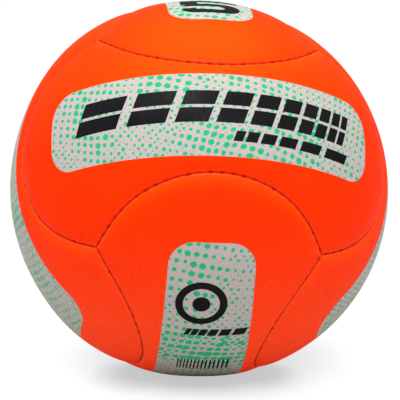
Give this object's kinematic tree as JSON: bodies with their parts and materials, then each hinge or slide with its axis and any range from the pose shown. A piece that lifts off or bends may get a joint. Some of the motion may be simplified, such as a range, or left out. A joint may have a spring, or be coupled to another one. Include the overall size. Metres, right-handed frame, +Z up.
{
  "type": "beach soccer ball",
  "caption": "Hand-stitched inflated ball of waisted orange panels over foam, lining and bladder, with printed dotted bands and a valve.",
  "frame": {"origin": "the middle of the ball", "axes": "+Z up through the middle, away from the small flat that the ball stands on; the front panel looks along -Y and up, its long side along X"},
  "size_m": [0.2196, 0.2188, 0.2187],
  "materials": {
    "cover_skin": "satin",
    "foam": "matte",
    "lining_cloth": "matte",
    "seam_thread": "satin",
    "bladder_rubber": "matte",
    "valve_rubber": "satin"
  },
  "bodies": {
    "root": {"skin_front": "cover_skin", "skin_back": "cover_skin", "skin_top": "cover_skin", "skin_bottom": "cover_skin", "skin_left": "cover_skin", "skin_right": "cover_skin", "foam_front": "foam", "foam_back": "foam", "foam_top": "foam", "foam_bottom": "foam", "foam_left": "foam", "foam_right": "foam", "lining_front": "lining_cloth", "lining_back": "lining_cloth", "lining_top": "lining_cloth", "lining_bottom": "lining_cloth", "lining_left": "lining_cloth", "lining_right": "lining_cloth", "thread_front_top": "seam_thread", "thread_front_bottom": "seam_thread", "thread_back_top": "seam_thread", "thread_back_bottom": "seam_thread", "thread_top_left": "seam_thread", "thread_top_right": "seam_thread", "thread_bottom_right": "seam_thread", "thread_bottom_left": "seam_thread", "thread_left_back": "seam_thread", "thread_left_front": "seam_thread", "thread_right_front": "seam_thread", "thread_right_back": "seam_thread", "bladder": "bladder_rubber", "valve_body": "valve_rubber", "valve_insert": "valve_rubber", "valve_reinforcement": "lining_cloth"}
  },
  "joints": []
}
